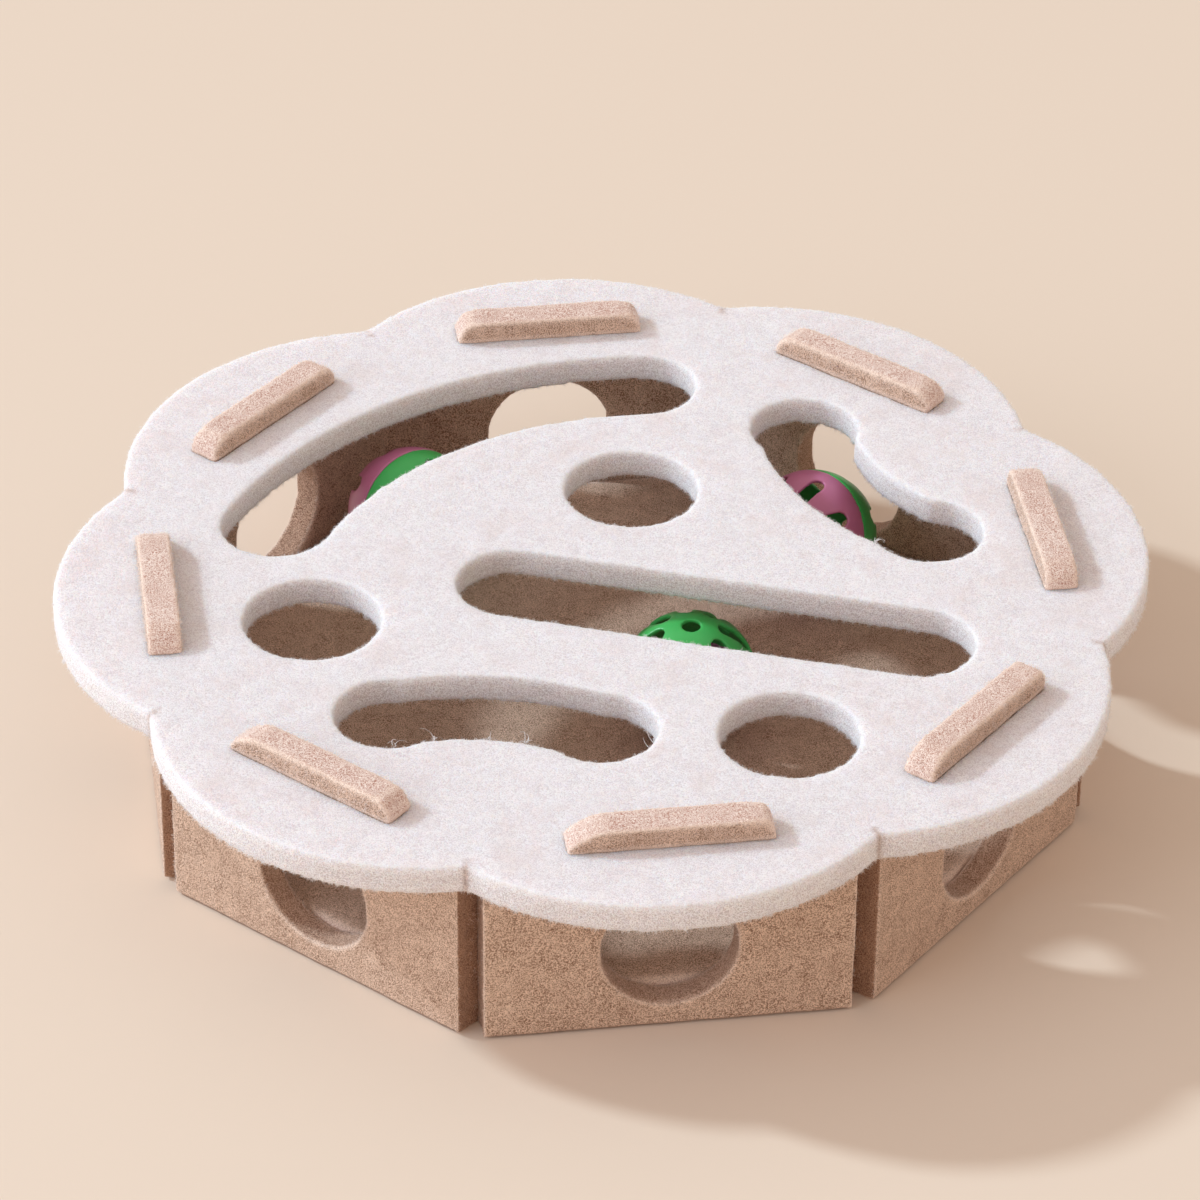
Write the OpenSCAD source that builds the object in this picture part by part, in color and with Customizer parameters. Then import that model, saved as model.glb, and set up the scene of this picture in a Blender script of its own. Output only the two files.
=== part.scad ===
// Felt cat maze: an eight-sided felt box with a lobed lid, and bell balls that roll about inside it.
// Millimetres. The origin is the middle of the box on the table, +Z is up and wall 1 faces -Y.

/* [Felt boards] */
// Thickness of the beige board that the walls and the base are cut from
board_t = 9; // [6:0.5:12]
// Thickness of the white board that the top plate is cut from
top_t = 9; // [6:0.5:12]

/* [Ring of walls] */
// Distance across the ring between the outer faces of opposite walls
ring_across = 273; // [264:1:300]
// Gap between the inner corners of neighbouring walls
corner_gap = 0.6; // [0.3:0.1:4]
// Room between the top of a ball and the underside of the top plate
headroom = 5.7; // [2:0.1:15]
// How much narrower the paw holes are than the balls, which keeps the balls in
ball_keep = 1; // [0.5:0.5:8]

/* [Tabs] */
// Length of the tab on each wall
tab_l = 57; // [40:1:80]
// Height that a tab stands above the top plate
tab_rise = 6.5; // [4.5:0.5:12]
// Radius of the upper corners of a tab, which lead it into its slit
tab_corner_r = 6; // [1:0.5:8]
// Clearance between a tab and its slit, all round
tab_clearance = 0.3; // [0.1:0.1:1]

/* [Top plate] */
// How far the middle of a lobe reaches past the wall below it
lobe_overhang = 26.5; // [18:0.5:40]
// Depth of the notch between two lobes
notch_depth = 13; // [8:0.5:16]

/* [Round holes] */
// Diameter of the three round holes
round_hole_d = 40; // [32:0.5:42]
// Place of the hole behind the straight slot
round_hole_back = [13.5, 39.5]; // [-100:0.5:100]
// Place of the hole on the left
round_hole_left = [-88.5, -16.5]; // [-100:0.5:100]
// Place of the hole at the front
round_hole_front = [40.5, -89.5]; // [-100:0.5:100]

/* [Straight slot] */
// Width of the straight slot
straight_w = 33; // [26:0.5:38]
// Distance between the middles of its round ends
straight_l = 121.5; // [80:0.5:130]
// Middle of the straight slot
straight_at = [28.5, -27.5]; // [-40:0.5:40]
// Slant of the straight slot
straight_slant = -21.4; // [-30:0.1:-10]

/* [Long curved slot] */
// Width of the long curved slot
long_w = 33; // [26:0.5:36]
// Radius of its middle line
long_r = 126.5; // [115:0.5:130]
// Middle of that radius
long_at = [15, -29.5]; // [-40:0.5:40]
// Angles at which the slot starts and ends
long_span = [85.5, 150]; // [60:0.5:160]

/* [Kidney opening] */
// Width of the kidney's channel
kidney_w = 30; // [22:0.5:32]
// Diameter of its round ends
kidney_end_d = 32.5; // [28:0.5:36]
// Radius of its middle line
kidney_r = 80; // [70:0.5:90]
// Middle of that radius
kidney_at = [-58.5, -144.5]; // [-160:0.5:0]
// Angles at which the kidney starts and ends
kidney_span = [54.5, 98.5]; // [40:0.5:110]

/* [Bean opening] */
// Width of the bean's channel
bean_w = 28.5; // [22:0.5:32]
// Diameter of its round ends
bean_end_d = 32.5; // [28:0.5:36]
// Radius of its middle line
bean_r = 73.5; // [66:0.5:80]
// Middle of that radius
bean_at = [144.5, 64]; // [0:0.5:160]
// Angles at which the bean starts and ends
bean_span = [178.5, 231.5]; // [160:0.5:240]

/* [Bell balls] */
// Diameter of a ball
ball_d = 40; // [34:0.5:44]
// Wall of the two plastic halves
ball_wall = 1.5; // [1.1:0.1:2.5]
// Diameter of the hole at each pole
pole_hole_d = 5.6; // [3:0.1:7]
// Number of slots round each half
lattice_slots = 8; // [6:1:9]
// Width of those slots
lattice_slot_w = 4.8; // [3:0.1:5.6]
// Angles from the pole at which a slot starts and ends
lattice_span = [24.5, 71]; // [20:0.5:75]
// Height of the lip that the green half sets into the pink one
lip_h = 1.5; // [0.8:0.1:3]
// Clearance of the lip in its seat
lip_clearance = 0.05; // [0.02:0.01:0.2]
// Clearance between a ball and the floor it rolls on
roll_clearance = 0.3; // [0.1:0.1:1]

/* [Where the balls lie] */
// Place of ball 1, under the straight slot
ball_1_at = [24.5, -11.5]; // [-60:0.5:60]
// Tilt, heading and spin of its green pole, and the twist of its pink half
ball_1_turn = [4, -99, 54, 0]; // [-180:0.5:180]
// Place of ball 2, under the bean
ball_2_at = [73.5, 58.5]; // [-80:0.5:80]
// Tilt, heading and spin of its green pole, and the twist of its pink half
ball_2_turn = [112, 40.5, 6.5, 0]; // [-180:0.5:180]
// Place of ball 3, under the long curved slot
ball_3_at = [-48.5, 86.5]; // [-90:0.5:90]
// Tilt, heading and spin of its green pole, and the twist of its pink half
ball_3_turn = [80.5, -58, 32, 16]; // [-180:0.5:180]

/* [Bells] */
// Diameter of a bell without its rim
bell_d = 11; // [8:0.5:14]
// Thickness of the sheet that a bell is pressed from
bell_wall = 0.5; // [0.3:0.05:0.8]
// Width of the rim where the two cups are crimped
bell_rim_w = 0.6; // [0.4:0.1:1]
// Width of the sound slits
bell_slit_w = 0.9; // [0.5:0.1:1.4]
// Diameter of the hole at the end of each slit
bell_slit_hole_d = 1.9; // [1.4:0.1:2.4]
// Angle from the bottom of the bell out to those holes
bell_slit_reach = 50; // [35:1:60]
// Thickness of the wire loop
loop_wire_d = 0.8; // [0.5:0.1:1.2]
// Radius of the loop at the middle of the wire
loop_r = 1.6; // [1.2:0.1:2.4]
// Diameter of the pellet
pellet_d = 3.2; // [2.6:0.1:4]
// Clearance between a bell and the ball it lies in
bell_clearance = 0.3; // [0.1:0.1:1]
// Clearance between a pellet and the bell it lies in
pellet_clearance = 0.15; // [0.05:0.05:0.5]

/* [Hidden] */
$fn = 96;
wall_count = 8;
ball_count = 3;
turn = 360 / wall_count;
half_turn = turn / 2;
front_heading = -90;
cut_past = 1;

white_felt = "#ece6e8";
beige_felt = "#c9a78c";
green_plastic = "#3fae55";
pink_plastic = "#c06a92";
bell_metal = "#d2b46a";
pellet_metal = "#8f8f92";

// The ring of walls
ring_outer = ring_across / 2;
ring_inner = ring_outer - board_t;
wall_w = 2 * ring_inner * tan(half_turn) - corner_gap;
wall_h = board_t + roll_clearance + ball_d + headroom;
paw_hole_d = ball_d - ball_keep;
tab_h = top_t + tab_rise;

// The lobes: each is an arc through its own middle and the two notches beside it
lobe_tip = ring_outer + lobe_overhang;
notch_r = lobe_tip - notch_depth;
lobe_middle = (lobe_tip ^ 2 - notch_r ^ 2) / (2 * (lobe_tip - notch_r * cos(half_turn)));
lobe_r = lobe_tip - lobe_middle;

// The balls and what lies in them
ball_r = ball_d / 2;
ball_inner = ball_r - ball_wall;
ball_z = board_t + roll_clearance + ball_r;
lip_r = ball_r - ball_wall / 2;
lattice_mid = (lattice_span[0] + lattice_span[1]) / 2;
lattice_tip = ball_r * sin((lattice_span[1] - lattice_span[0]) / 2);
ball_at = [ball_1_at, ball_2_at, ball_3_at];
ball_turn = [ball_1_turn, ball_2_turn, ball_3_turn];
bell_r = bell_d / 2;
bell_inner = bell_r - bell_wall;
bell_drop = ball_inner - bell_r - bell_clearance;
rim_r = bell_r + bell_rim_w;
pellet_drop = bell_inner - pellet_d / 2 - pellet_clearance;

// Turns a child that is drawn along +X to face the way wall k faces
module facing_wall(k) {
    rotate(front_heading + (k - 1) * turn) children();
}

// Base: an octagon whose edges are glued to the inner faces of the walls
module base_plate() {
    color(beige_felt)
        linear_extrude(board_t)
            rotate(half_turn) circle(r = ring_inner / cos(half_turn), $fn = wall_count);
}

// Wall: shoulders that carry the top plate, a tab that goes through it and a paw hole
module wall_outline() {
    difference() {
        union() {
            translate([-wall_w / 2, 0]) square([wall_w, wall_h]);
            translate([-tab_l / 2, wall_h - cut_past])
                square([tab_l, tab_h - tab_corner_r + cut_past]);
            translate([-tab_l / 2 + tab_corner_r, wall_h])
                square([tab_l - 2 * tab_corner_r, tab_h]);
            for (side = [-1, 1])
                translate([side * (tab_l / 2 - tab_corner_r), wall_h + tab_h - tab_corner_r])
                    circle(r = tab_corner_r);
        }
        translate([0, wall_h / 2]) circle(d = paw_hole_d);
    }
}

module wall_panel(k) {
    color(beige_felt)
        facing_wall(k)
            translate([ring_inner, 0, 0])
                rotate([90, 0, 90]) linear_extrude(board_t) wall_outline();
}

// A slot bent round a middle, with round ends that may be wider than the slot
module curved_slot(at, r, w, end_d, span) {
    reach = 2 * (r + w) / cos((span[1] - span[0]) / 2);
    translate(at) {
        intersection() {
            difference() {
                circle(r = r + w / 2);
                circle(r = r - w / 2);
            }
            polygon([
                [0, 0],
                reach * [cos(span[0]), sin(span[0])],
                reach * [cos(span[1]), sin(span[1])]
            ]);
        }
        for (a = span)
            rotate(a) translate([r, 0]) circle(d = end_d);
    }
}

// A straight slot with round ends, along X about its middle
module round_ended_slot(l, w) {
    square([l, w], center = true);
    for (side = [-1, 1])
        translate([side * l / 2, 0]) circle(d = w);
}

module lobed_outline() {
    rotate(half_turn) circle(r = notch_r, $fn = wall_count);
    for (k = [1 : wall_count])
        facing_wall(k) translate([lobe_middle, 0]) circle(r = lobe_r);
}

module top_openings() {
    for (at = [round_hole_back, round_hole_left, round_hole_front])
        translate(at) circle(d = round_hole_d);
    translate(straight_at) rotate(straight_slant) round_ended_slot(straight_l, straight_w);
    curved_slot(long_at, long_r, long_w, long_w, long_span);
    curved_slot(kidney_at, kidney_r, kidney_w, kidney_end_d, kidney_span);
    curved_slot(bean_at, bean_r, bean_w, bean_end_d, bean_span);
}

// Top plate: rests on the shoulders of the walls, with a slit round each tab
module top_plate() {
    color(white_felt)
        translate([0, 0, wall_h])
            linear_extrude(top_t)
                difference() {
                    lobed_outline();
                    top_openings();
                    for (k = [1 : wall_count])
                        facing_wall(k)
                            translate([ring_inner - tab_clearance, -tab_l / 2 - tab_clearance])
                                square([board_t + 2 * tab_clearance, tab_l + 2 * tab_clearance]);
                }
}

// Puts a child that is drawn about a ball's own middle into ball k, turned as that ball lies
module in_ball(k) {
    tilt = ball_turn[k - 1];
    translate([ball_at[k - 1].x, ball_at[k - 1].y, ball_z])
        rotate([0, tilt[0], tilt[1]])
            rotate(tilt[2]) children();
}

// The upper half of a ball with nothing cut from it
module dome(r) {
    intersection() {
        sphere(r = r);
        translate([-r, -r, 0]) cube([2 * r, 2 * r, r]);
    }
}

// Hollow of a half, its pole hole and its ring of slots
module half_cuts() {
    sphere(r = ball_inner);
    cylinder(d = pole_hole_d, h = ball_r + cut_past);
    for (k = [0 : lattice_slots - 1])
        rotate([0, lattice_mid, k * 360 / lattice_slots])
            translate([0, 0, ball_inner / 2])
                linear_extrude(ball_r)
                    round_ended_slot(2 * lattice_tip - lattice_slot_w, lattice_slot_w);
}

// Green half: its lip stands past the seam
module green_half(k) {
    color(green_plastic)
        in_ball(k)
            difference() {
                union() {
                    dome(ball_r);
                    translate([0, 0, -lip_h]) cylinder(r = lip_r, h = lip_h + ball_wall);
                }
                half_cuts();
            }
}

// Pink half: the same moulding turned over, with a seat for the lip
module pink_half(k) {
    color(pink_plastic)
        in_ball(k)
            rotate([180, 0, ball_turn[k - 1][3]])
                difference() {
                    dome(ball_r);
                    half_cuts();
                    translate([0, 0, -cut_past])
                        cylinder(r = lip_r + lip_clearance, h = lip_h + lip_clearance + cut_past);
                }
}

// Puts a child that is drawn about a bell's own middle at the bottom of ball k
module in_bell(k) {
    translate([ball_at[k - 1].x, ball_at[k - 1].y, ball_z - bell_drop]) children();
}

// Upper cup of a bell, with the flange that is crimped and the wire loop
module bell_top(k) {
    color(bell_metal)
        in_bell(k) {
            difference() {
                union() {
                    dome(bell_r);
                    cylinder(r = rim_r, h = bell_wall);
                }
                sphere(r = bell_inner);
            }
            translate([0, 0, bell_r + loop_r - bell_wall / 2])
                rotate([90, 0, 0])
                    rotate_extrude() translate([loop_r, 0]) circle(d = loop_wire_d);
        }
}

// Lower cup of a bell: its rim is turned up and over the flange, and crossed slits let the sound out
module bell_cup(k) {
    rim_gap = lip_clearance;
    fold_r = rim_r + rim_gap + bell_wall;
    color(bell_metal)
        in_bell(k)
            difference() {
                union() {
                    mirror([0, 0, 1]) dome(bell_r);
                    translate([0, 0, -bell_wall]) cylinder(r = fold_r, h = 3 * bell_wall);
                }
                sphere(r = bell_inner);
                cylinder(r = rim_r + rim_gap, h = bell_wall);
                cylinder(r = bell_r + rim_gap, h = bell_r);
                for (a = [0, 90])
                    rotate(a) {
                        translate([0, 0, -bell_r / 2])
                            cube([2 * bell_r * sin(bell_slit_reach), bell_slit_w, bell_r + cut_past],
                                 center = true);
                        for (side = [-1, 1])
                            rotate([0, 180 - side * bell_slit_reach, 0])
                                cylinder(d = bell_slit_hole_d, h = bell_r + cut_past);
                    }
            }
}

// Pellet: a loose steel ball that lies at the bottom of the bell
module pellet(k) {
    color(pellet_metal)
        in_bell(k)
            translate([0, 0, -pellet_drop]) sphere(d = pellet_d);
}

base_plate();
top_plate();
for (k = [1 : wall_count])
    wall_panel(k);
for (k = [1 : ball_count]) {
    green_half(k);
    pink_half(k);
    bell_top(k);
    bell_cup(k);
    pellet(k);
}
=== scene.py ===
import math
import random

import bpy
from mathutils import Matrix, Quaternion, Vector


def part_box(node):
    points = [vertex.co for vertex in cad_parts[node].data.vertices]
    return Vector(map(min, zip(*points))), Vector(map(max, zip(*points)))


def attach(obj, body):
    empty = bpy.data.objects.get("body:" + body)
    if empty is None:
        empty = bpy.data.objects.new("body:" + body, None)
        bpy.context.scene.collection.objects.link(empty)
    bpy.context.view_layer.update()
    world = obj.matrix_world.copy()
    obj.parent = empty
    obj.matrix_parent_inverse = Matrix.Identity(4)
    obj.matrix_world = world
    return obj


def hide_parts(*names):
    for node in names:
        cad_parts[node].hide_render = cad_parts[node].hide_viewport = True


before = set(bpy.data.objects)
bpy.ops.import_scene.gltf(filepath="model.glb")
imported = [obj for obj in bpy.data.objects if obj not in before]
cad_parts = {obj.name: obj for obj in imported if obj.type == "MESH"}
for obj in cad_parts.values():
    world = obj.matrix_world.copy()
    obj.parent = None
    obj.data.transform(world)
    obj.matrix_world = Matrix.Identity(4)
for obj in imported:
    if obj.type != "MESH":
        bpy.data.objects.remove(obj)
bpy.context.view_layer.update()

# Base plate: an octagon of stiff 9 mm felt board that closes the box below and that the balls roll on.
# The board is beige polyester wool, needled until it is dense and cut with a knife, so its edges are
# soft and its faces aren't quite flat. The walls are glued round it.
MM = 0.001
BASE_FACE = 2.2 * MM
BASE_ROUNDS = 3
BASE_UNEVEN = 0.35 * MM
BASE_CLUMP = 7 * MM
# How deep an edge is rubbed before it is painted fully pale, partly as fuzz and partly as a painted
# highlight
FLUFF_HIGHLIGHT_WEAR = 0.28 * MM
UNDERSIDE = 0.05 * MM
FACE_TURN = 0.9
CUT_BLEND = 0.5
# Sizes of the felt's patterns in mm: the space between crossing fibres in two layers, with a shift that
# sets the layers apart, then tufts, patches of darker fibre, and the layers that a cut shows
STRAND_LAYERS = ((0, 1.9), (37, 1.2))
TUFT_SIZE = 4.5
PATCH_SIZE = 14
LAYER_SIZE = 0.9
STRAND_WIDTH = 0.09
STRAND_MEAN = 0.7
# The tint of painted shade: it darkens the walls' end faces in the gaps between them, their paw holes, the
# lid's notch crease and a contact shadow along the foot
PAINTED_SHADE_TINT = "#cdb9a9"


def linear(hex_colour):
    """An sRGB hex colour as the linear colour that a shader takes."""
    shares = [int(hex_colour[i:i + 2], 16) / 255 for i in (1, 3, 5)]
    return [s / 12.92 if s <= 0.04045 else ((s + 0.055) / 1.055) ** 2.4 for s in shares] + [1]


def add_node(material, kind, inputs=(), **settings):
    """Adds a shader node with its settings, and gives its inputs a value or a link."""
    tree = material.node_tree
    node = tree.nodes.new("ShaderNode" + kind)
    for name, value in settings.items():
        setattr(node, name, value)
    for socket, value in dict(inputs).items():
        if isinstance(value, bpy.types.NodeSocket):
            tree.links.new(value, node.inputs[socket])
        else:
            node.inputs[socket].default_value = value
    return node


def new_finish(name):
    """A new material with its shader, and the place on the piece in mm that its patterns read."""
    material = bpy.data.materials.new(name)
    material.use_nodes = True
    place = add_node(material, "TexCoord").outputs["Object"]
    in_mm = add_node(material, "Mapping", {"Vector": place, "Scale": (1 / MM, 1 / MM, 1 / MM)})
    return material, material.node_tree.nodes["Principled BSDF"], in_mm.outputs["Vector"]


def needled_felt(name, pressed, cut, fluff_and_highlight, fleck, fleck_share, grain, tangled, nap, glow):
    """Needle-punched polyester felt: matt, with short tangled fibres that catch the light one by one.
    A face is pressed and mottled, a cut shows fibre ends in layers, a rubbed edge is pale with fuzz and a
    painted highlight, and shade is painted darker into the walls' end faces, paw holes, notch crease and
    foot."""
    material, shader, in_mm = new_finish(name)

    # Two tangled layers of fibres, drawn half a millimetre wide so that they show
    layers = []
    for shift, apart in STRAND_LAYERS:
        moved = add_node(material, "Mapping", {"Vector": in_mm, "Location": (shift, shift, shift)})
        wander = add_node(material, "TexNoise", {
            "Vector": moved.outputs["Vector"], "Scale": 1 / apart, "Detail": 1.5, "Roughness": 0.6,
            "Distortion": 0.7,
        }).outputs["Fac"]
        off_line = add_node(material, "Math", {0: wander, 1: 0.5}, operation="SUBTRACT").outputs[0]
        off_line = add_node(material, "Math", {0: off_line}, operation="ABSOLUTE").outputs[0]
        layers.append(add_node(material, "MapRange", {
            "Value": off_line, "From Min": 0, "From Max": STRAND_WIDTH, "To Min": 1, "To Max": 0,
        }).outputs["Result"])
    strands = add_node(material, "Math", {0: layers[0], 1: layers[1]}, operation="ADD").outputs[0]
    ends = add_node(material, "TexNoise", {
        "Vector": in_mm, "Scale": 1 / grain, "Detail": 1.5, "Roughness": 0.6, "Distortion": 0.3,
    }).outputs["Fac"]
    tufts = add_node(material, "TexNoise", {
        "Vector": in_mm, "Scale": 1 / TUFT_SIZE, "Detail": 4, "Roughness": 0.6, "Distortion": 0.6,
    }).outputs["Fac"]
    clouds = add_node(material, "TexNoise", {
        "Vector": in_mm, "Scale": 1 / PATCH_SIZE, "Detail": 3, "Roughness": 0.6,
    }).outputs["Fac"]

    # Pressed face: fibres over a mottled ground, with patches where darker fibres were carded in
    bright = add_node(material, "MapRange", {
        "Value": ends, "From Min": 0.41, "From Max": 0.76, "To Min": -0.5, "To Max": 1.4,
    }).outputs["Result"]
    crossing = add_node(material, "Math", {0: strands, 1: STRAND_MEAN}, operation="SUBTRACT").outputs[0]
    for pattern, share in ((crossing, tangled), (tufts, 0.9)):
        bright = add_node(material, "Math", {
            0: pattern, 1: share, 2: bright,
        }, operation="MULTIPLY_ADD").outputs[0]
    bright = add_node(material, "Math", {0: bright, 1: 0.16}, operation="ADD").outputs[0]
    colour = add_node(material, "MixRGB", {
        "Fac": bright, "Color1": linear(pressed[0]), "Color2": linear(pressed[1]),
    }).outputs[0]
    patch = add_node(material, "MapRange", {
        "Value": clouds, "From Min": 0.5, "From Max": 0.7, "To Min": 0, "To Max": fleck_share,
    }).outputs["Result"]
    patch = add_node(material, "Math", {0: patch, 1: ends}, operation="MULTIPLY").outputs[0]
    colour = add_node(material, "MixRGB", {
        "Fac": patch, "Color1": colour, "Color2": linear(fleck),
    }).outputs[0]

    # Cut edge: fibre ends a third of a millimetre apart, in the layers that the board was needled from
    flat_mm = add_node(material, "Mapping", {"Vector": in_mm, "Scale": (0.1, 0.1, 1)}).outputs["Vector"]
    layered = add_node(material, "TexNoise", {
        "Vector": flat_mm, "Scale": 1 / LAYER_SIZE, "Detail": 2,
    }).outputs["Fac"]
    speckle = add_node(material, "MapRange", {
        "Value": ends, "From Min": 0.35, "From Max": 0.65, "To Min": -0.6, "To Max": 1,
    }).outputs["Result"]
    speckle = add_node(material, "Math", {
        0: layered, 1: 0.7, 2: speckle,
    }, operation="MULTIPLY_ADD").outputs[0]
    cut_colour = add_node(material, "MixRGB", {
        "Fac": speckle, "Color1": linear(cut[0]), "Color2": linear(cut[1]),
    }).outputs[0]
    at_cut = add_node(material, "Attribute", attribute_name="cut").outputs["Fac"]
    colour = add_node(material, "MixRGB", {
        "Fac": at_cut, "Color1": colour, "Color2": cut_colour,
    }).outputs[0]

    # Rubbed edges, pale with fuzz and a painted highlight, and shade painted in where it falls
    at_edge = add_node(material, "Attribute", attribute_name="fluff_and_highlight").outputs["Fac"]
    tangle = add_node(material, "MapRange", {"Value": speckle, "To Min": 0.5, "To Max": 1}).outputs["Result"]
    at_edge = add_node(material, "Math", {
        0: at_edge, 1: tangle,
    }, operation="MULTIPLY", use_clamp=True).outputs[0]
    colour = add_node(material, "MixRGB", {
        "Fac": at_edge, "Color1": colour, "Color2": linear(fluff_and_highlight),
    }).outputs[0]
    at_painted_shade = add_node(material, "Attribute", attribute_name="painted_shade").outputs["Fac"]
    colour = add_node(material, "MixRGB", {
        "Fac": at_painted_shade, "Color1": colour, "Color2": linear(PAINTED_SHADE_TINT),
    }, blend_type="MULTIPLY").outputs[0]
    material.node_tree.links.new(colour, shader.inputs["Base Color"])

    height = add_node(material, "Math", {0: strands, 1: 2.5 * tangled}, operation="MULTIPLY").outputs[0]
    for pattern, share in ((ends, 1.2), (tufts, 1.5)):
        height = add_node(material, "Math", {
            0: pattern, 1: share, 2: height,
        }, operation="MULTIPLY_ADD").outputs[0]
    bump = add_node(material, "Bump", {"Height": height, "Strength": 0.7, "Distance": nap}).outputs["Normal"]
    material.node_tree.links.new(bump, shader.inputs["Normal"])
    shader.inputs["Roughness"].default_value = 0.95
    shader.inputs["Subsurface Weight"].default_value = glow
    shader.inputs["Subsurface Radius"].default_value = (1, 0.82, 0.7)
    shader.inputs["Subsurface Scale"].default_value = 6 * MM
    shader.inputs["Specular IOR Level"].default_value = 0.15
    shader.inputs["Sheen Weight"].default_value = 0.2
    shader.inputs["Sheen Roughness"].default_value = 0.5
    return material


def only(piece):
    """Makes one piece the only one selected, and the active one."""
    bpy.ops.object.select_all(action="DESELECT")
    piece.select_set(True)
    bpy.context.view_layer.objects.active = piece


def cut_board(node, face_size):
    """A copy of a CAD solid, merged and given even faces that can be worn and bent."""
    board = bpy.data.objects.new(node + "_felt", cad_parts[node].data.copy())
    bpy.context.scene.collection.objects.link(board)
    only(board)
    bpy.ops.object.mode_set(mode="EDIT")
    bpy.ops.mesh.select_all(action="SELECT")
    bpy.ops.mesh.remove_doubles(threshold=0.001 * MM)
    bpy.ops.object.mode_set(mode="OBJECT")
    even = board.modifiers.new("even_faces", "REMESH")
    even.mode = "VOXEL"
    even.voxel_size = face_size
    bpy.ops.object.modifier_apply(modifier=even.name)
    return board


def rub_round(piece, rounds, weights=""):
    """Rubs a piece's edges round."""
    rub = piece.modifiers.new("rubbed_edges", "SMOOTH")
    rub.factor = 0.5
    rub.iterations = rounds
    rub.vertex_group = weights
    bpy.ops.object.modifier_apply(modifier=rub.name)


def wear(board, rounds, uneven, clump, weights=""):
    """Rubs a board's edges round, marks them for pale fuzz and a painted highlight, and lets its faces swell
    and sink a little.
    What it stands on stays flat."""
    only(board)
    sharp = [vertex.co.copy() for vertex in board.data.vertices]
    rub_round(board, rounds, weights)
    # The rubbed edges are painted pale: partly loose fuzz, partly a painted highlight where fuzz catches the
    # light
    marks = board.data.attributes.new("fluff_and_highlight", "FLOAT", "POINT")
    for vertex, before, mark in zip(board.data.vertices, sharp, marks.data):
        mark.value = min(1, max(0, (before - vertex.co).dot(vertex.normal) / FLUFF_HIGHLIGHT_WEAR))
    clumps = bpy.data.textures.new(board.name + "_clumps", "CLOUDS")
    clumps.noise_scale = clump
    clumps.noise_depth = 2
    swell = board.modifiers.new("uneven_felt", "DISPLACE")
    swell.texture = clumps
    swell.texture_coords = "LOCAL"
    swell.mid_level = 0.5
    swell.strength = uneven
    bpy.ops.object.modifier_apply(modifier=swell.name)
    for vertex in board.data.vertices:
        vertex.co.z = max(vertex.co.z, UNDERSIDE)
    bpy.ops.object.shade_smooth()


def mark_cuts(board, across):
    """Marks where a board was cut: 0 on the faces that lie across its thickness and 1 on its edges."""
    marks = board.data.attributes.new("cut", "FLOAT", "POINT")
    for vertex, mark in zip(board.data.vertices, marks.data):
        mark.value = min(1, max(0, (FACE_TURN - abs(vertex.normal.dot(across))) / CUT_BLEND))


def dress(piece, material, body, slot, *nodes):
    """Gives a piece its finish, and says which body it moves with and which nodes it stands for."""
    piece.data.materials.clear()
    piece.data.materials.append(material)
    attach(piece, body)
    if nodes:
        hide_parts(*nodes)


up = Vector((0, 0, 1))
# The pale colour of rubbed edges is partly fuzz and partly a painted highlight
beige_felt = needled_felt(
    "beige needled felt", pressed=("#87644c", "#edceb7"), cut=("#ba8470", "#ffeee3"), fluff_and_highlight="#ffe7d5",
    fleck="#a07a62", fleck_share=0.3, grain=0.32, tangled=0.12, nap=0.2 * MM, glow=0)
base = cut_board("base_plate", BASE_FACE)
wear(base, BASE_ROUNDS, BASE_UNEVEN, BASE_CLUMP)
mark_cuts(base, up)
dress(base, beige_felt, "base", "beige_felt", "base_plate")

# Wall panels: eight boards of the same beige felt, each with a paw hole and a tab that goes through the lid.
# They are cut by hand, so no two tabs end alike: some slope down to the lid and some stand upright.
# The walls are glued to the edges of the base plate, and their upper edges carry the lid.
WALL_COUNT = 8
WALL_FACE = 0.75 * MM
WALL_ROUNDS = 16
WALL_UNEVEN = 0.5 * MM
WALL_CLUMP = 6 * MM
BELOW_LID_WEAR = 0.5
TAB_ARC = 6 * MM
TAB_SWELL = 0.45 * MM
TAB_FLARE = 0.5 * MM
FLARE_RISE = 1.5 * MM
HOLE_CUT = 0.15
# Painted shade in the paw holes, and on a wall's end faces, which look into the narrow gaps between walls
HOLE_SHADE = 0.6
END_SHADE_DEPTH = 1.5 * MM
END_SHADE_TURN = 0.7
END_SHADE_BLEND = 0.25
CORNER_PRESS = 0.8 * MM
CORNER_DEPTH = 4 * MM
FOOT_LIFT = 0.9 * MM
FOOT_DEPTH = 3 * MM
# Height of the contact shadow painted along a wall's foot
FOOT_SHADE_RISE = 1.7 * MM
# Run and end height of each tab's two ends in mm, the end towards the next wall first
TAB_ENDS = {
    1: ((3.5, 3.5), (12, 1.5)), 2: ((2.5, 4.5), (8, 2)), 3: ((5, 4), (7, 3)), 4: ((6, 2.5), (6, 3)),
    5: ((5, 2.5), (4.5, 3)), 6: ((6, 2.5), (5, 2.5)), 7: ((8, 2), (8, 2)), 8: ((5, 2.5), (10, 1.5)),
}
lid_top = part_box("top_plate")[1].z
tab_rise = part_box("wall_panel_1")[1].z - lid_top
least_rise = tab_rise / 3
wall_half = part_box("wall_panel_1")[1].x
ring_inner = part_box("base_plate")[1].x
board_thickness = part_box("wall_panel_3")[1].x - ring_inner
tab_half = max(v.co.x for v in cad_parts["wall_panel_1"].data.vertices if v.co.z > lid_top)


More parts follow.
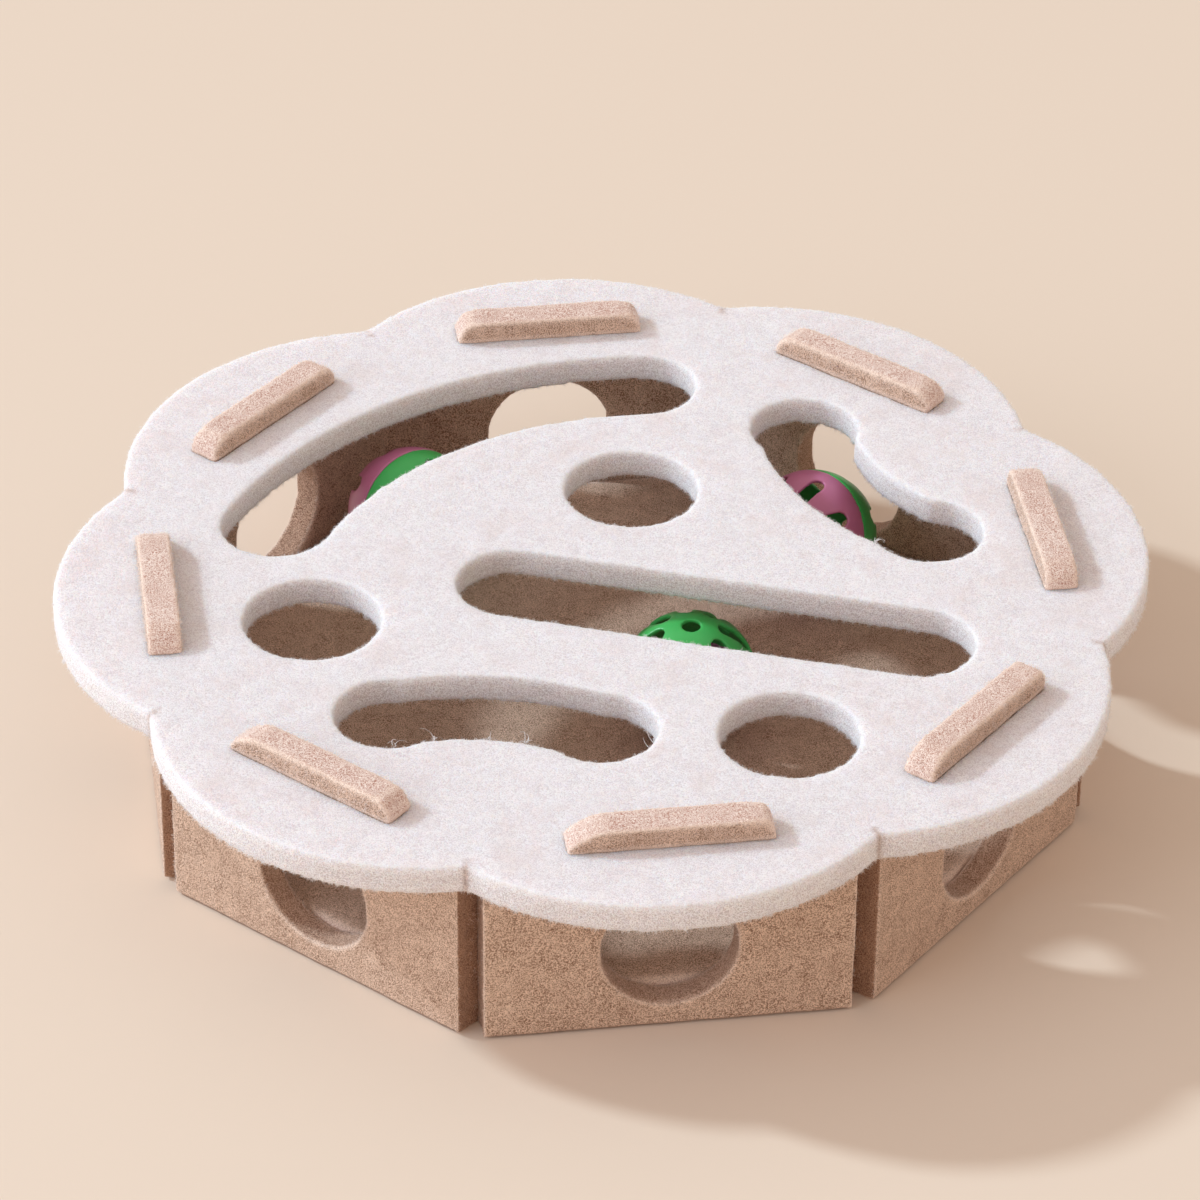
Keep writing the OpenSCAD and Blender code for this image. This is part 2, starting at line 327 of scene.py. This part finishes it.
def shape_tab(wall, outward, along, ends):
    """Gives a tab's two ends their own slopes, and lets what stands above the lid swell over its slit."""
    for vertex in wall.data.vertices:
        rise = vertex.co.z - lid_top
        if rise <= 0:
            continue
        side = vertex.co.dot(along)
        run, low = [v * MM for v in ends[0 if side > 0 else 1]]
        inward = max(0, tab_half - abs(side))
        drawn = tab_rise
        if inward < TAB_ARC:
            drawn = tab_rise - TAB_ARC + math.sqrt(TAB_ARC ** 2 - (TAB_ARC - inward) ** 2)
        wanted = low + (tab_rise - low) * (1 - (1 - min(1, inward / run)) ** 2)
        vertex.co.z = lid_top + rise * wanted / max(drawn, least_rise)
        depth = vertex.co.dot(outward) - ring_inner - board_thickness / 2
        swell = TAB_SWELL + TAB_FLARE * max(0, 1 - rise / FLARE_RISE)
        vertex.co += swell * (side / tab_half * along + depth / (board_thickness / 2) * outward)


def press_corners(wall, outward, along):
    """Closes the corners of the box: each wall's inner corners are pressed against its neighbours'."""
    for vertex in wall.data.vertices:
        side = vertex.co.dot(along)
        inside = CORNER_DEPTH - (vertex.co.dot(outward) - ring_inner)
        near_end = CORNER_DEPTH - (wall_half - abs(side))
        if min(inside, near_end) > 0 and vertex.co.z < lid_top:
            share = inside * near_end / CORNER_DEPTH ** 2
            vertex.co += math.copysign(CORNER_PRESS * share, side) * along


def lift_foot(wall, outward):
    """Lifts the outer lower edge of a wall a little, as a board that was pressed while it was cut."""
    for vertex in wall.data.vertices:
        above = 1 - vertex.co.z / FOOT_DEPTH
        behind = 1 - (ring_inner + board_thickness - vertex.co.dot(outward)) / FOOT_DEPTH
        if min(above, behind) > 0:
            vertex.co.z += FOOT_LIFT * above * behind


def mark_ends(wall, along):
    """Paints shade into a wall: a contact shadow along its foot, and shade on its end faces in the gaps
    between walls and in its die-cut hole, and takes most of the fibre ends' tint off them."""
    marks = wall.data.attributes.new("painted_shade", "FLOAT", "POINT")
    cuts = wall.data.attributes["cut"].data
    fluff_and_highlights = wall.data.attributes["fluff_and_highlight"].data
    for vertex, cut, fluff_and_highlight, painted_shade in zip(wall.data.vertices, cuts, fluff_and_highlights, marks.data):
        if vertex.co.z > lid_top:
            continue
        # A contact shadow painted along the foot, and shade painted on the cut faces such as the paw hole
        foot_shade = min(1, max(0, 2 - 2 * vertex.co.z / FOOT_SHADE_RISE))
        painted_shade.value = max(foot_shade, HOLE_SHADE * cut.value * (1 - fluff_and_highlight.value))
        # Shade painted on the end faces that look into the gaps between walls
        if wall_half - abs(vertex.co.dot(along)) < END_SHADE_DEPTH:
            painted_shade.value = min(1, max(0, (abs(vertex.normal.dot(along)) - END_SHADE_TURN) / END_SHADE_BLEND))
        cut.value *= HOLE_CUT


walls = []
for number in range(1, WALL_COUNT + 1):
    node = "wall_panel_%d" % number
    heading = math.radians(-90 + 360 / WALL_COUNT * (number - 1))
    outward = Vector((math.cos(heading), math.sin(heading), 0))
    along = Vector((-outward.y, outward.x, 0))
    wall = cut_board(node, WALL_FACE)
    shape_tab(wall, outward, along, TAB_ENDS[number])
    rubbed = wall.vertex_groups.new(name="rubbed_edges")
    for vertex in wall.data.vertices:
        rubbed.add([vertex.index], 1 if vertex.co.z > lid_top else BELOW_LID_WEAR, "REPLACE")
    wear(wall, WALL_ROUNDS, WALL_UNEVEN, WALL_CLUMP, rubbed.name)
    press_corners(wall, outward, along)
    lift_foot(wall, outward)
    mark_cuts(wall, outward)
    mark_ends(wall, along)
    dress(wall, beige_felt, "base", "beige_felt", node)
    walls.append((wall, outward))

# Loose fibres on the walls: needled felt sheds, so short hairs stand off its cut edges in tufts.
# The tabs are handled most, and a nap of such fibres covers them all over.
# They are single polyester fibres, drawn thicker than they are so that they show.
FIBRE_HALF = 0.06 * MM
FIBRE_ROOT = 0.12 * MM
FIBRE_CURL = 0.8
FIBRE_TAPER = 0.5
TUFT_FIBRES = 4
TUFT_SPREAD = 0.25 * MM
TUFT_LEAN = 0.6
FIBRE_STRAY = 0.4
LENGTH_SPREAD = 0.45
LONGEST = 1.8
LEAST_CURL = 0.4
BATCH_SIZE = 1.5
TAB_TUFTS = 12000
TAB_FIBRE = 0.7 * MM
WALL_TUFTS = 8000
WALL_FIBRE = 0.5 * MM
WALL_RIM = (0.2, 0.95)
FLOOR_GAP = 2 * MM


def loose_fibre(name, colour, shade):
    """Single polyester fibres: pale, no two quite alike, and so thin that light goes through them."""
    material, shader, in_mm = new_finish(name)
    batch = add_node(material, "TexNoise", {
        "Vector": in_mm, "Scale": 1 / BATCH_SIZE, "Detail": 2,
    }).outputs["Fac"]
    tone = add_node(material, "MixRGB", {
        "Fac": batch, "Color1": linear(shade), "Color2": linear(colour),
    }).outputs[0]
    material.node_tree.links.new(tone, shader.inputs["Base Color"])
    shader.inputs["Roughness"].default_value = 0.7
    shader.inputs["Subsurface Weight"].default_value = 1
    shader.inputs["Subsurface Radius"].default_value = (1, 1, 1)
    shader.inputs["Subsurface Scale"].default_value = 1 * MM
    return material


def rim_points(board, across, low, high):
    """The points of a worn edge, with the way that each one faces."""
    return [
        (v.co.copy(), v.normal.copy()) for v in board.data.vertices
        if low < abs(v.normal.dot(across)) < high]


def grow_fibres(name, roots, tufts, length, seed, rings=1, curl=FIBRE_CURL, thick=FIBRE_HALF):
    """Tufts of loose fibres: thin three-sided strands, each one an arc that tapers to a point."""
    draw = random.Random(seed)
    points = []
    faces = []

    def any_way(size):
        return Vector((draw.gauss(0, size), draw.gauss(0, size), draw.gauss(0, size)))

    for _ in range(tufts):
        root, normal = draw.choice(roots)
        lean = normal + any_way(TUFT_LEAN)
        for _ in range(TUFT_FIBRES):
            way = (lean + any_way(FIBRE_STRAY)).normalized()
            reach = length * min(LONGEST, draw.lognormvariate(0, LENGTH_SPREAD))
            bend = curl * draw.uniform(LEAST_CURL, 1)
            side = way.cross(any_way(1)).normalized()
            other = way.cross(side)
            start = root + any_way(TUFT_SPREAD) - FIBRE_ROOT * normal
            first = len(points)
            for ring in range(rings + 1):
                share = ring / rings
                forward = math.sin(share * bend) / bend
                sideways = (1 - math.cos(share * bend)) / bend
                middle = start + reach * (forward * way + sideways * side)
                half = thick * (1 - FIBRE_TAPER * share)
                if ring == rings:
                    points.append(middle)
                    continue
                for corner in range(3):
                    turn = math.tau * corner / 3
                    points.append(middle + half * (math.cos(turn) * side + math.sin(turn) * other))
            faces.append((first + 2, first + 1, first))
            last = first + 3 * (rings - 1)
            for ring in range(first, last, 3):
                for corner in range(3):
                    after = (corner + 1) % 3
                    faces.append((ring + corner, ring + after, ring + 3 + after, ring + 3 + corner))
            for corner in range(3):
                faces.append((last + corner, last + (corner + 1) % 3, last + 3))
    mesh = bpy.data.meshes.new(name)
    mesh.from_pydata(points, [], faces)
    fibres = bpy.data.objects.new(name, mesh)
    bpy.context.scene.collection.objects.link(fibres)
    return fibres


tab_nap = []
wall_rims = []
for wall, outward in walls:
    tab_nap += [(v.co.copy(), v.normal.copy()) for v in wall.data.vertices if v.co.z > lid_top]
    wall_rims += [spot for spot in rim_points(wall, outward, *WALL_RIM) if FLOOR_GAP < spot[0].z < lid_top]
beige_fibre = loose_fibre("beige fibre", "#fde4d1", "#f1d4bf")
tab_fibres = grow_fibres("tab_fibres", tab_nap, TAB_TUFTS, TAB_FIBRE, seed=5)
dress(tab_fibres, beige_fibre, "base", "beige_felt")
wall_fibres = grow_fibres("wall_fibres", wall_rims, WALL_TUFTS, WALL_FIBRE, seed=6)
dress(wall_fibres, beige_fibre, "base", "beige_felt")

# Bells: two brass cups crimped together round a loose steel pellet, one bell in each ball.
# Pressed brass is bright but finely scuffed; the pellet is plain ground steel.
# They keep their solids, which are true to the real ones, and take a finish here.
BALLS = (1, 2, 3)
SCUFF_SIZE = 0.8
SCUFF_SPREAD = 0.1


def scuffed_metal(name, colour, worn, roughness):
    """Bare sheet metal with fine scuffs, which spread its gloss unevenly."""
    material, shader, in_mm = new_finish(name)
    scuff = add_node(material, "TexNoise", {
        "Vector": in_mm, "Scale": 1 / SCUFF_SIZE, "Detail": 6, "Roughness": 0.7,
    }).outputs["Fac"]
    tone = add_node(material, "MixRGB", {
        "Fac": scuff, "Color1": linear(worn), "Color2": linear(colour),
    }).outputs[0]
    gloss = add_node(material, "MapRange", {
        "Value": scuff, "To Min": roughness - SCUFF_SPREAD, "To Max": roughness + SCUFF_SPREAD,
    }).outputs["Result"]
    material.node_tree.links.new(tone, shader.inputs["Base Color"])
    material.node_tree.links.new(gloss, shader.inputs["Roughness"])
    shader.inputs["Metallic"].default_value = 1
    return material


brass = scuffed_metal("pressed brass", "#e2c274", "#b28d45", 0.28)
steel = scuffed_metal("ground steel", "#b9babd", "#8b8c90", 0.3)
for ball in BALLS:
    for part, metal in (("bell_top", brass), ("bell_cup", brass), ("pellet", steel)):
        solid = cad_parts["ball_%d_%s" % (ball, part)]
        solid.data.materials.clear()
        solid.data.materials.append(metal)

# Ball halves: thin pierced domes of green and pink plastic that snap together round a bell.
# They are injection moulded in soft polyethylene, so every slot has a rounded rim and the gloss is satin.
# Each half keeps the place and turn of its solid.
BALL_FACE = 0.42 * MM
BALL_ROUNDS = 5
FLOW_SIZE = 6
SKIN_SIZE = 0.5
SKIN_DEPTH = 0.03 * MM


def moulded_plastic(name, colour, shade):
    """Moulded polyethylene: smooth and satin, coloured right through, with a faint flow pattern."""
    material, shader, in_mm = new_finish(name)
    flow = add_node(material, "TexNoise", {
        "Vector": in_mm, "Scale": 1 / FLOW_SIZE, "Detail": 3, "Roughness": 0.5,
    }).outputs["Fac"]
    skin = add_node(material, "TexNoise", {
        "Vector": in_mm, "Scale": 1 / SKIN_SIZE, "Detail": 2,
    }).outputs["Fac"]
    tone = add_node(material, "MixRGB", {
        "Fac": flow, "Color1": linear(shade), "Color2": linear(colour),
    }).outputs[0]
    gloss = add_node(material, "MapRange", {"Value": skin, "To Min": 0.3, "To Max": 0.4}).outputs["Result"]
    bump = add_node(material, "Bump", {"Height": skin, "Strength": 0.15, "Distance": SKIN_DEPTH})
    material.node_tree.links.new(tone, shader.inputs["Base Color"])
    material.node_tree.links.new(gloss, shader.inputs["Roughness"])
    material.node_tree.links.new(bump.outputs["Normal"], shader.inputs["Normal"])
    shader.inputs["IOR"].default_value = 1.5
    return material


green = moulded_plastic("green polyethylene", "#4bc265", "#3fb157")
pink = moulded_plastic("pink polyethylene", "#cb7a9f", "#be6c92")
for ball in BALLS:
    for side, plastic in (("green", green), ("pink", pink)):
        node = "ball_%d_%s_half" % (ball, side)
        half = cut_board(node, BALL_FACE)
        half.name = node + "_shell"
        rub_round(half, BALL_ROUNDS)
        bpy.ops.object.shade_smooth()
        dress(half, plastic, "ball_%d_shell" % ball, side + "_plastic", node)

# Lid: one lobed board of white felt with the slots and round holes that a cat reaches through.
# The felt is the same needled board in undyed fibre, with a few tan fibres carded in.
# It rests on the walls' shoulders and is held by their tabs, which stand in its slits.
LID_FACE = 1 * MM
LID_ROUNDS = 9
LID_UNEVEN = 0.45 * MM
LID_CLUMP = 8 * MM
LID_KEPT_FACES = 0.62
UNDERSIDE_WEAR = 0.35
SLIT_MARGIN = 2.5 * MM
SLIT_WEAR = 0.15
NOTCH_WEAR = 0.05
NOTCH_REACH = 146 * MM
NOTCH_HALF = 2 * MM
# How dark shade is painted into the crease of each notch between two lobes
CREASE_SHADE = 0.8
LID_TUFTS = 9000
UPPER_FIBRE = 0.45 * MM
LOWER_FIBRE = 0.75 * MM
LID_RIM = (0.2, 0.97)
HAIR_HALF = 0.13 * MM
HAIR_RINGS = 12
HAIR_CURL = 3
HAIR_DRAWN = 2.5
HAIR_SEED = 20
# Where the lid sheds long hairs: the place in mm, the way that they were drawn, the tufts and the
# length in mm
SHEDDING = (
    ((2.5, -90, 63), (-0.8, 0.3, 0.5), 1, 8), ((2, -87, 59), (-1, 0.3, 0.4), 1, 7),
    ((-59.7, -79.5, 63.5), (0.15, 0.2, 1), 1, 6), ((-71, -80.5, 63.5), (-0.1, 0.2, 1), 1, 4),
    ((-44.5, -80.8, 63.5), (0, 0.4, 1), 1, 2.5), ((-33.8, -83.5, 63.5), (0.3, 0.4, 0.8), 2, 3),
    ((82, 3, 63.5), (0.3, 0.5, 0.8), 2, 2.5),
)
# The pale colour of rubbed edges is partly fuzz and partly a painted highlight
white_felt = needled_felt(
    "white needled felt", pressed=("#ddd3d7", "#faf5f8"), cut=("#d1c7c8", "#fcf9fb"), fluff_and_highlight="#fbf6f8",
    fleck="#d9c2b6", fleck_share=0.42, grain=0.36, tangled=0.4, nap=0.12 * MM, glow=0.9)
lid = cut_board("top_plate", LID_FACE)
lid_middle = (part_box("top_plate")[0].z + lid_top) / 2


def beside_slit(place):
    """Whether a place on the lid is beside one of the slits that the tabs stand in."""
    turn = math.atan2(place.y, place.x) * WALL_COUNT / math.tau
    off_middle = (turn - round(turn)) * math.tau / WALL_COUNT
    far = place.xy.length
    if abs(far * math.sin(off_middle)) > tab_half + SLIT_MARGIN:
        return False
    return -SLIT_MARGIN < far * math.cos(off_middle) - ring_inner < board_thickness + SLIT_MARGIN


def into_notch(place):
    """How deep a place on the lid's outline is in a notch between two lobes: 1 at its crease and 0
    outside it."""
    turn = math.atan2(place.y, place.x) * WALL_COUNT / math.tau
    off_notch = (turn - math.floor(turn) - 0.5) * math.tau / WALL_COUNT
    far = place.xy.length
    if far < NOTCH_REACH:
        return 0
    return max(0, 1 - abs(far * math.sin(off_notch)) / NOTCH_HALF)


free = lid.vertex_groups.new(name="free_edges")
for vertex in lid.data.vertices:
    rubbed = 1 if vertex.co.z > lid_middle else UNDERSIDE_WEAR
    if beside_slit(vertex.co):
        rubbed = SLIT_WEAR
    elif into_notch(vertex.co) > 0:
        rubbed = NOTCH_WEAR
    free.add([vertex.index], rubbed, "REPLACE")
wear(lid, LID_ROUNDS, LID_UNEVEN, LID_CLUMP, free.name)
thin = lid.modifiers.new("fewer_faces", "DECIMATE")
thin.ratio = LID_KEPT_FACES
bpy.ops.object.modifier_apply(modifier=thin.name)
mark_cuts(lid, up)
# Painted shade along the crease of each notch, where two lobes meet
crease_shades = lid.data.attributes.new("painted_shade", "FLOAT", "POINT")
for vertex, mark in zip(lid.data.vertices, crease_shades.data):
    mark.value = CREASE_SHADE * into_notch(vertex.co) ** 2
dress(lid, white_felt, "cover", "white_felt", "top_plate")
white_fibre = loose_fibre("white fibre", "#fffbfc", "#f6f0f1")
lid_rims = [spot for spot in rim_points(lid, up, *LID_RIM) if not beside_slit(spot[0])]
upper_rims = [spot for spot in lid_rims if spot[1].z > 0]
lower_rims = [spot for spot in lid_rims if spot[1].z < 0]
upper_fibres = grow_fibres("upper_fibres", upper_rims, LID_TUFTS, UPPER_FIBRE, seed=7)
dress(upper_fibres, white_fibre, "cover", "white_felt")
lower_fibres = grow_fibres("lower_fibres", lower_rims, LID_TUFTS, LOWER_FIBRE, seed=8)
dress(lower_fibres, white_fibre, "cover", "white_felt")
for number, (place, way, tufts, length) in enumerate(SHEDDING, 1):
    root = (Vector(place) * MM, HAIR_DRAWN * Vector(way).normalized())
    hairs = grow_fibres(
        "loose_hairs_%d" % number, [root], tufts, length * MM, seed=HAIR_SEED + number,
        rings=HAIR_RINGS, curl=HAIR_CURL, thick=HAIR_HALF)
    dress(hairs, white_fibre, "cover", "white_felt")

# Floor: a wide sheet of plain sand-coloured card under the maze, which isn't part of it.
# Matt card takes the shadow softly and gives back a little of its own warm colour.
FLOOR_HALF = 4
bpy.ops.object.select_all(action="DESELECT")
bpy.ops.mesh.primitive_plane_add(size=2 * FLOOR_HALF)
floor = bpy.context.object
floor.name = "floor"
card = bpy.data.materials.new("matt card")
card.use_nodes = True
card_shader = card.node_tree.nodes["Principled BSDF"]
card_shader.inputs["Base Color"].default_value = linear("#e9d7c5")
card_shader.inputs["Roughness"].default_value = 0.7
card_shader.inputs["Specular IOR Level"].default_value = 0.2
floor.data.materials.append(card)

# Light: a low, cool key from behind on the left, which draws soft shadows towards the front right,
# a broad soft box on the left that lifts the nearer walls, and an even, warm room.
KEY_HEADING = math.radians(-28.5)
KEY_HEIGHT = math.radians(33.5)
KEY_STRENGTH = 2.02
KEY_SPREAD = math.radians(4.5)
BOX_POWER = 16.6
BOX_SIZE = 1.6
BOX_PLACE = Vector((-1.9, -0.65, 1.1))
ROOM_STRENGTH = 0.676
key = bpy.data.objects.new("key", bpy.data.lights.new("key", "SUN"))
key.data.energy = KEY_STRENGTH
key.data.angle = KEY_SPREAD
key.data.color = linear("#e0f3ff")[:3]
key_way = Vector((math.cos(KEY_HEIGHT) * math.cos(KEY_HEADING), math.cos(KEY_HEIGHT) * math.sin(KEY_HEADING),
                  -math.sin(KEY_HEIGHT)))
key.rotation_euler = key_way.to_track_quat("-Z", "Y").to_euler()
bpy.context.scene.collection.objects.link(key)
box = bpy.data.objects.new("left_box", bpy.data.lights.new("left_box", "AREA"))
box.data.energy = BOX_POWER
box.data.size = BOX_SIZE
box.data.color = linear("#d9eaff")[:3]
box.location = BOX_PLACE
box.rotation_euler = (-BOX_PLACE).to_track_quat("-Z", "Y").to_euler()
bpy.context.scene.collection.objects.link(box)
room = bpy.data.worlds.new("room")
room.use_nodes = True
room.node_tree.nodes["Background"].inputs["Color"].default_value = linear("#fff0e5")
room.node_tree.nodes["Background"].inputs["Strength"].default_value = ROOM_STRENGTH
bpy.context.scene.world = room

# Camera: a long lens above and a little to the left of the front wall, aimed just in front of the middle.
# It stands on a line through the middle of the lid, and is rolled by half a degree.
CAMERA_AZIMUTH = math.radians(-8.187)
CAMERA_HEIGHT = math.radians(34.749)
CAMERA_DISTANCE = 1.5373
CAMERA_AIM = Vector((-3.81 * MM, -17.7 * MM, lid_top))
CAMERA_ROLL = math.radians(0.59)
CAMERA_LENS = 155.69
CAMERA_SENSOR = 36
camera = bpy.data.objects.new("camera", bpy.data.cameras.new("camera"))
camera.data.sensor_width = CAMERA_SENSOR
camera.data.lens = CAMERA_LENS
back = Vector((math.sin(CAMERA_AZIMUTH) * math.cos(CAMERA_HEIGHT),
               -math.cos(CAMERA_AZIMUTH) * math.cos(CAMERA_HEIGHT), math.sin(CAMERA_HEIGHT)))
camera.location = Vector((0, 0, lid_top)) + CAMERA_DISTANCE * back
camera.rotation_mode = "QUATERNION"
camera.rotation_quaternion = (
    (CAMERA_AIM - camera.location).to_track_quat("-Z", "Y") @ Quaternion((0, 0, 1), CAMERA_ROLL))
bpy.context.scene.collection.objects.link(camera)
bpy.context.scene.camera = camera
bpy.context.scene.view_settings.view_transform = "Standard"
